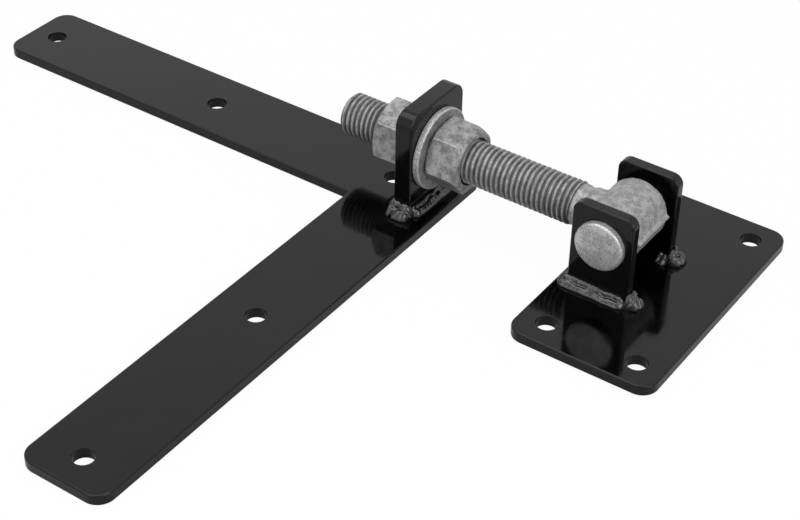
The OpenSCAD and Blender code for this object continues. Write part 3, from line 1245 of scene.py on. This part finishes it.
@dataclass
class Eyebolt:
    """The forged eyebolt with its rolled thread.

    Attributes:
        pitch: The thread's pitch.
        crest: The thread's outer radius.
        depth: The thread's depth.
        thread_end: Where the thread ends towards the eye, from the pin's axis.
        neck: The neck's radius beside the thread.
        eye: The eye's radius.
        press: The share by which the forging is pressed in low on the eye's far side.
        parting: How far the parting line lies above the pin's axis.
        eye_length: The eye's length along the pin.
        bore: The radius of the eye's bore.
        flash: How far the parting line stands proud.
    """

    pitch: float = 3 * MILLIMETRE
    crest: float = 11.75 * MILLIMETRE
    depth: float = 1.5 * MILLIMETRE
    thread_end: float = 26 * MILLIMETRE
    neck: float = 11.25 * MILLIMETRE
    eye: float = 16.75 * MILLIMETRE
    press: float = 0.08
    parting: float = 1.5 * MILLIMETRE
    eye_length: float = 33 * MILLIMETRE
    bore: float = 9.1 * MILLIMETRE
    flash: float = 0.8 * MILLIMETRE

    def build(self, finishes: Finishes) -> None:
        """Builds the eyebolt and dresses it.

        Args:
            finishes: The hinge's materials.
        """
        pin_low, pin_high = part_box("clevis_pin")
        low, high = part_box("eyebolt")
        nut_low, nut_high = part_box("inner_nut")
        pin_x = (pin_low.x + pin_high.x) / 2
        centre = Vector((pin_x, (low.y + high.y) / 2, (nut_low.z + nut_high.z) / 2))
        length = pin_x - low.x
        bolt = self.forging(centre)
        combine(bolt, self.thread(centre, length), Cut.ADD)
        shave(bolt)
        pick(bolt)
        bpy.ops.object.shade_smooth_by_angle(angle=math.radians(40))
        dress(bolt, finishes.forging, "eyebolt", "zinc_forging", "eyebolt")

    def forging(self, centre: Vector) -> bpy.types.Object:
        """Forges the eye and the neck as one blended body.

        Args:
            centre: The middle of the eye.

        Returns:
            The body, bored for the pin.
        """
        half = self.eye_length / 2
        ease = 1.3 * MILLIMETRE
        barrel = [
            (-half, 0),
            (-half, self.eye - ease),
            (ease - half, self.eye),
            (half - ease, self.eye),
            (half, self.eye - ease),
            (half, 0),
        ]
        body = lathe("galvanised_eyebolt", barrel, Axis.Y, centre)
        self.press_in(body, centre)
        over = 0.6 * MILLIMETRE
        neck = [
            (-self.thread_end - over, 0),
            (-self.thread_end - over, self.crest - self.depth),
            (-self.thread_end, self.neck),
            (-0.91 * self.thread_end, self.neck),
            (-0.81 * self.thread_end, 0.94 * self.neck),
            (-0.76 * self.thread_end, 0.94 * self.neck),
            (-0.70 * self.thread_end, 1.03 * self.neck),
            (-0.3 * self.thread_end, 1.04 * self.neck),
            (0, self.neck),
            (0, 0),
        ]
        combine(body, lathe("neck", neck, Axis.X, centre), Cut.ADD)
        tip = self.eye + self.flash
        reach = Vector((tip, half - ease, tip))
        seam = centre + Vector((0, 0, self.parting))
        wedge = block("parting_line", seam - reach, seam + reach)
        self.squeeze_wedge(wedge, seam, tip)
        combine(body, wedge, Cut.ADD)
        apply_modifier(body, "REMESH", mode="VOXEL", voxel_size=0.6 * MILLIMETRE)
        apply_modifier(body, "SMOOTH", factor=0.5, iterations=4)
        roughen(body, 7 * MILLIMETRE, 0.2 * MILLIMETRE, seed=4.0)
        drill = rod(Axis.Y, centre, -self.eye_length, self.eye_length, self.bore)
        combine(body, drill, Cut.REMOVE)
        return body

    def press_in(self, barrel: bpy.types.Object, centre: Vector) -> None:
        """Makes the eye a little less than round, low on the side away from the thread."""
        lowest = Vector((math.cos(math.pi / 6), 0, -math.sin(math.pi / 6)))
        for vertex in barrel.data.vertices:
            out = vertex.co - centre
            out.y = 0
            if out.length > 0:
                facing = min(1.0, max(0.0, out.normalized().dot(lowest)))
                vertex.co -= out * self.press * facing * facing * (3 - 2 * facing)

    def squeeze_wedge(self, wedge: bpy.types.Object, centre: Vector, tip: float) -> None:
        """Turns a block into the wedge that stands out on both sides of the eye."""
        with editing(wedge) as mesh:
            bpy.ops.mesh.select_mode(type="EDGE")
            for edge in mesh.edges:
                first, second = (corner.co for corner in edge.verts)
                upright = abs(second.z - first.z) > tip
                edge.select_set(upright)
            bmesh.update_edit_mesh(wedge.data)
            bpy.ops.mesh.subdivide(number_cuts=1)
            for corner in mesh.verts:
                if abs(corner.co.z - centre.z) > tip / 2:
                    corner.co.x = centre.x + (corner.co.x - centre.x) * 0.02
                    corner.co.z = centre.z + math.copysign(0.6 * tip, corner.co.z - centre.z)
            bmesh.update_edit_mesh(wedge.data)

    def thread(self, centre: Vector, length: float) -> bpy.types.Object:
        """Rolls the thread as a right-hand helix, cut square and bevelled at its end.

        Args:
            centre: The middle of the eye.
            length: The distance from there to the bolt's free end.

        Returns:
            The threaded shank.
        """
        crest, knee, foot, root = 0.11, 0.15, 0.35, 0.40
        shape = [(0, 0), (crest, 0), (knee, 0.08), (foot, 0.9), (root, 1)]
        shape += [(1 - share, deep) for share, deep in reversed(shape)]
        profile = [
            (self.pitch * share, self.crest - self.depth * deep) for share, deep in shape
        ]
        shank = line_up("thread", profile)
        turns = math.ceil((length - self.thread_end) / self.pitch) + 3
        apply_modifier(
            shank,
            "SCREW",
            axis="X",
            angle=FULL_TURN,
            screw_offset=self.pitch,
            iterations=turns,
            steps=48,
            render_steps=48,
            use_merge_vertices=True,
            merge_threshold=MERGE_DISTANCE,
        )
        shank.location = centre - Vector((length + 1.5 * self.pitch, 0, 0))
        close_up(settle(shank))
        roughen(shank, 2.6 * MILLIMETRE, 0.09 * MILLIMETRE, seed=9.0)
        for at, keep in ((centre.x - length, 1), (centre.x - self.thread_end, -1)):
            with editing(shank):
                bpy.ops.mesh.select_all(action="SELECT")
                bpy.ops.mesh.bisect(
                    plane_co=(at, centre.y, centre.z),
                    plane_no=(keep, 0, 0),
                    use_fill=True,
                    clear_inner=True,
                )
        close_up(shank)
        bevel = self.depth * 1.1
        over = MILLIMETRE
        cone = [
            (-length, 0),
            (-length, self.crest - bevel),
            (bevel - length, self.crest),
            (bevel - length, self.crest + over),
            (over - self.thread_end, self.crest + over),
            (over - self.thread_end, 0),
        ]
        combine(shank, lathe("bevel", cone, Axis.X, centre), Cut.KEEP_COMMON)
        return shank


@dataclass
class GateStrap:
    """The L-shaped strap with its lug, welds and washer.

    Attributes:
        width: The width of the arms.
        corner: The radius of the corners at the arms' ends.
        heel: The radius of the outer corner, where the arms meet.
        hole: The radius of the screw holes.
        pitch: The distance between the screw holes of an arm.
        inset: The distance from an arm's end to its first hole.
        lug_corner: The radius of the lug's top corners.
        lug_hole: The radius of the lug's hole.
        washer_hole: The radius of the washer's hole.
        edge: The width of the coated edges' round.
        rim: The width of the round at the holes.
        body: The body that all of it belongs to.
    """

    width: float = 50 * MILLIMETRE
    corner: float = 9 * MILLIMETRE
    heel: float = 3 * MILLIMETRE
    hole: float = 5.5 * MILLIMETRE
    pitch: float = 122.5 * MILLIMETRE
    inset: float = 17 * MILLIMETRE
    lug_corner: float = 8 * MILLIMETRE
    lug_hole: float = 13 * MILLIMETRE
    washer_hole: float = 12.5 * MILLIMETRE
    edge: float = 0.9 * MILLIMETRE
    rim: float = 0.35 * MILLIMETRE
    body: str = "strap"

    def build(self, finishes: Finishes) -> None:
        """Builds the strap's pieces and dresses them.

        Args:
            finishes: The hinge's materials.
        """
        self.strap(finishes)
        self.lug(finishes)
        for number, (node, run, side) in enumerate(
            (
                ("lug_weld_bolt_side", Axis.Y, Vector((1, 0, 0))),
                ("lug_weld_gate_side", Axis.Y, Vector((-1, 0, 0))),
                ("lug_weld_end", Axis.X, Vector((0, -1, 0))),
            )
        ):
            bead = lay_bead(node, run, side, seed=11.3 + 2.1 * number)
            dress(bead, finishes.weld_coat, self.body, "coated_weld", node)
        self.washer(finishes)

    def strap(self, finishes: Finishes) -> None:
        """Builds the L-shaped plate with its five holes."""
        low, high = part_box("gate_strap")
        heel = Vector((high.x - self.width, high.y - self.width, low.z))
        plate = block("coated_gate_strap", heel, high)
        near = MERGE_DISTANCE
        arms = (
            (Axis.X, lambda middle: middle.x < heel.x + near, Vector((low.x - heel.x, 0, 0))),
            (
                Axis.Y,
                lambda middle: middle.y < heel.y + near and middle.x > heel.x + near,
                Vector((0, low.y - heel.y, 0)),
            ),
        )
        for axis, chosen, move in arms:
            push_faces(plate, axis, chosen, move)
        close_up(plate)
        round_off(
            plate,
            Axis.Z,
            self.corner,
            lambda middle: min(middle.x - low.x, middle.y - low.y) < near,
        )
        round_off(
            plate,
            Axis.Z,
            self.heel,
            lambda middle: max(high.x - middle.x, high.y - middle.y) < near,
        )
        soften(plate, self.edge)
        middle_y = high.y - self.width / 2
        middle_x = high.x - self.width / 2
        along_x = [(low.x + self.inset + i * self.pitch, middle_y) for i in range(3)]
        along_y = [(middle_x, low.y + self.inset + i * self.pitch) for i in range(2)]
        for x, y in along_x + along_y:
            drill = rod(Axis.Z, Vector((x, y, 0)), -MILLIMETRE, high.z + MILLIMETRE, self.hole)
            combine(plate, drill, Cut.REMOVE)
        soften(plate, self.rim)
        dress(plate, finishes.coat, self.body, "powder_coat", "gate_strap")

    def lug(self, finishes: Finishes) -> None:
        """Builds the lug with the hole that the bolt passes through."""
        low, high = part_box("strap_lug")
        nut_low, nut_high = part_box("inner_nut")
        lug = block("coated_strap_lug", low, high)
        round_off(lug, Axis.X, self.lug_corner, lambda middle: middle.z > high.z - MILLIMETRE)
        centre = Vector((low.x, (low.y + high.y) / 2, (nut_low.z + nut_high.z) / 2))
        drill = rod(Axis.X, centre, -MILLIMETRE, high.x - low.x + MILLIMETRE, self.lug_hole)
        combine(lug, drill, Cut.REMOVE)
        soften(lug, self.edge)
        dress(lug, finishes.coat, self.body, "powder_coat", "strap_lug")

    def washer(self, finishes: Finishes) -> None:
        """Builds the punched washer, rounder at its front edge than at its back."""
        low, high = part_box("bolt_washer")
        thick = high.x - low.x
        radius = (high.z - low.z) / 2
        centre = Vector((low.x, (low.y + high.y) / 2, (low.z + high.z) / 2))
        front, back = 0.26 * thick, 0.12 * thick
        rim = [
            (
                thick - front * (1 - math.sin(angle)),
                radius - front * (1 - math.cos(angle)),
            )
            for angle in (QUARTER_TURN * i / 5 for i in range(6))
        ]
        profile = [
            (0, self.washer_hole),
            (0, radius - back),
            (back, radius),
            *rim,
            (thick, self.washer_hole + back),
            (thick - back, self.washer_hole),
            (0, self.washer_hole),
        ]
        washer = lathe("galvanised_washer", profile, Axis.X, centre, steps=128)
        pick(washer)
        bpy.ops.object.shade_smooth_by_angle(angle=math.radians(32))
        dress(washer, finishes.washer, self.body, "zinc_fastener", "bolt_washer")


@dataclass
class Studio:
    """The pale floor, the soft light and the camera at the photograph's angle.

    Attributes:
        station: Where the camera stands.
        azimuth: How far it is turned round the hinge, in degrees.
        elevation: How far it looks down, in degrees.
        roll: Its tilt to the side, in degrees.
        focal_pixels: The focal length, in pixels of the photograph.
        picture_width: The photograph's width in pixels.
        floor_size: The floor's side.
        floor_drop: How far the floor lies below the plates.
        daylight: The strength of the light from all round.
        shown_white: The strength at which the surroundings are seen and mirrored.
        lamps: Where each lamp hangs, its side, and its power in watts.
    """

    station: tuple[float, float, float] = (0.3070, -0.6778, 0.5782)
    azimuth: float = 34.13
    elevation: float = 37.52
    roll: float = 1.26
    focal_pixels: float = 1859.2
    picture_width: float = 800.0
    floor_size: float = 12.0
    floor_drop: float = 0.2 * MILLIMETRE
    daylight: float = 0.6
    shown_white: float = 1.0
    lamps: tuple[tuple[tuple[float, float, float], float, float], ...] = (
        ((-0.3, -0.2, 1.4), 1.4, 10.0),
        ((1.2, -0.4, 0.6), 0.9, 7.0),
        ((-0.3, -1.3, 0.6), 0.8, 2.5),
    )

    def build(self) -> None:
        """Builds the camera, the world, the lamps and the floor."""
        self.camera()
        self.world()
        self.floor()
        for number, (place, size, power) in enumerate(self.lamps):
            self.lamp(f"soft_lamp_{number + 1}", Vector(place), size, power)
        bpy.context.scene.view_settings.view_transform = "Standard"

    def camera(self) -> None:
        """Stands the camera where the photograph was taken from."""
        bpy.ops.object.camera_add(location=self.station)
        camera = bpy.context.object
        camera.name = "camera"
        turn = (
            Matrix.Rotation(math.radians(self.azimuth), 4, "Z")
            @ Matrix.Rotation(math.radians(90 - self.elevation), 4, "X")
            @ Matrix.Rotation(math.radians(self.roll), 4, "Z")
        )
        camera.rotation_euler = turn.to_euler()
        camera.data.sensor_width = 36.0
        camera.data.lens = self.focal_pixels / self.picture_width * camera.data.sensor_width
        camera.data.clip_start = 0.01
        camera.data.clip_end = 50.0
        bpy.context.scene.camera = camera

    def world(self) -> None:
        """Surrounds the hinge with plain daylight that is seen as white."""
        world = bpy.data.worlds.new("daylight")
        bpy.context.scene.world = world
        shader = blank(world)
        seen = self.seen_share(shader)
        lit = shader.add("ShaderNodeBackground", Color=(1, 1, 1, 1), Strength=self.daylight)
        shown = shader.add("ShaderNodeBackground", Color=(1, 1, 1, 1), Strength=self.shown_white)
        mix = shader.add("ShaderNodeMixShader", Fac=seen)
        shader.tree.links.new(lit.outputs[0], mix.inputs[1])
        shader.tree.links.new(shown.outputs[0], mix.inputs[2])
        shader.add("ShaderNodeOutputWorld", Surface=mix.outputs[0])

    def seen_share(self, shader: Shader, dim: float = 1.0) -> bpy.types.NodeSocket:
        """Gives 1 for rays that see the surroundings, and dim for mirrored ones."""
        path = shader.add("ShaderNodeLightPath")
        mirrored = shader.maths(
            "ADD", path.outputs["Is Glossy Ray"], path.outputs["Is Transmission Ray"]
        )
        total = shader.maths("MULTIPLY_ADD", mirrored, dim, path.outputs["Is Camera Ray"])
        return shader.maths("MINIMUM", total, 1.0)

    def floor(self) -> None:
        """Lays the pale floor, which keeps a soft part of the hinge's shadow."""
        bpy.ops.mesh.primitive_plane_add(
            size=self.floor_size, location=(0, 0, -self.floor_drop)
        )
        floor = settle(named("floor"))
        material = bpy.data.materials.new("pale_floor")
        shader = blank(material)
        seen = self.seen_share(shader, dim=0.28)
        matt = shader.add(
            "ShaderNodeBsdfDiffuse",
            Color=shader.blend(seen, (0.4, 0.4, 0.4, 1), (0.85, 0.85, 0.85, 1)),
        )
        glow = shader.add("ShaderNodeEmission", Color=(1, 1, 1, 1), Strength=1.0)
        mix = shader.add("ShaderNodeMixShader", Fac=shader.maths("MULTIPLY", seen, 0.96))
        shader.tree.links.new(matt.outputs[0], mix.inputs[1])
        shader.tree.links.new(glow.outputs[0], mix.inputs[2])
        shader.add("ShaderNodeOutputMaterial", Surface=mix.outputs[0])
        floor.data.materials.append(material)

    def lamp(self, name: str, place: Vector, size: float, power: float) -> None:
        """Hangs one square soft lamp that looks at the hinge.

        Args:
            name: The lamp's name.
            place: Where it hangs.
            size: Its side.
            power: Its power in watts.
        """
        bpy.ops.object.light_add(type="AREA", location=place)
        lamp = bpy.context.object
        lamp.name = name
        aim = Vector((-0.12, -0.03, 0)) - place
        lamp.rotation_euler = aim.to_track_quat("-Z", "Y").to_euler()
        lamp.data.size = size
        lamp.data.energy = power


def main() -> None:
    """Builds the studio and every piece of the hinge."""
    logging.basicConfig(level=logging.INFO, format="%(name)s: %(message)s")
    Studio().build()
    finishes = Finishes()
    WallBracket().build(finishes)
    ClevisPin().build(finishes)
    Eyebolt().build(finishes)
    GateStrap().build(finishes)
    HexNut("inner_nut", turn=40.5).build(finishes)
    HexNut("outer_nut", turn=51.0).build(finishes)


if __name__ == "__main__":
    main()
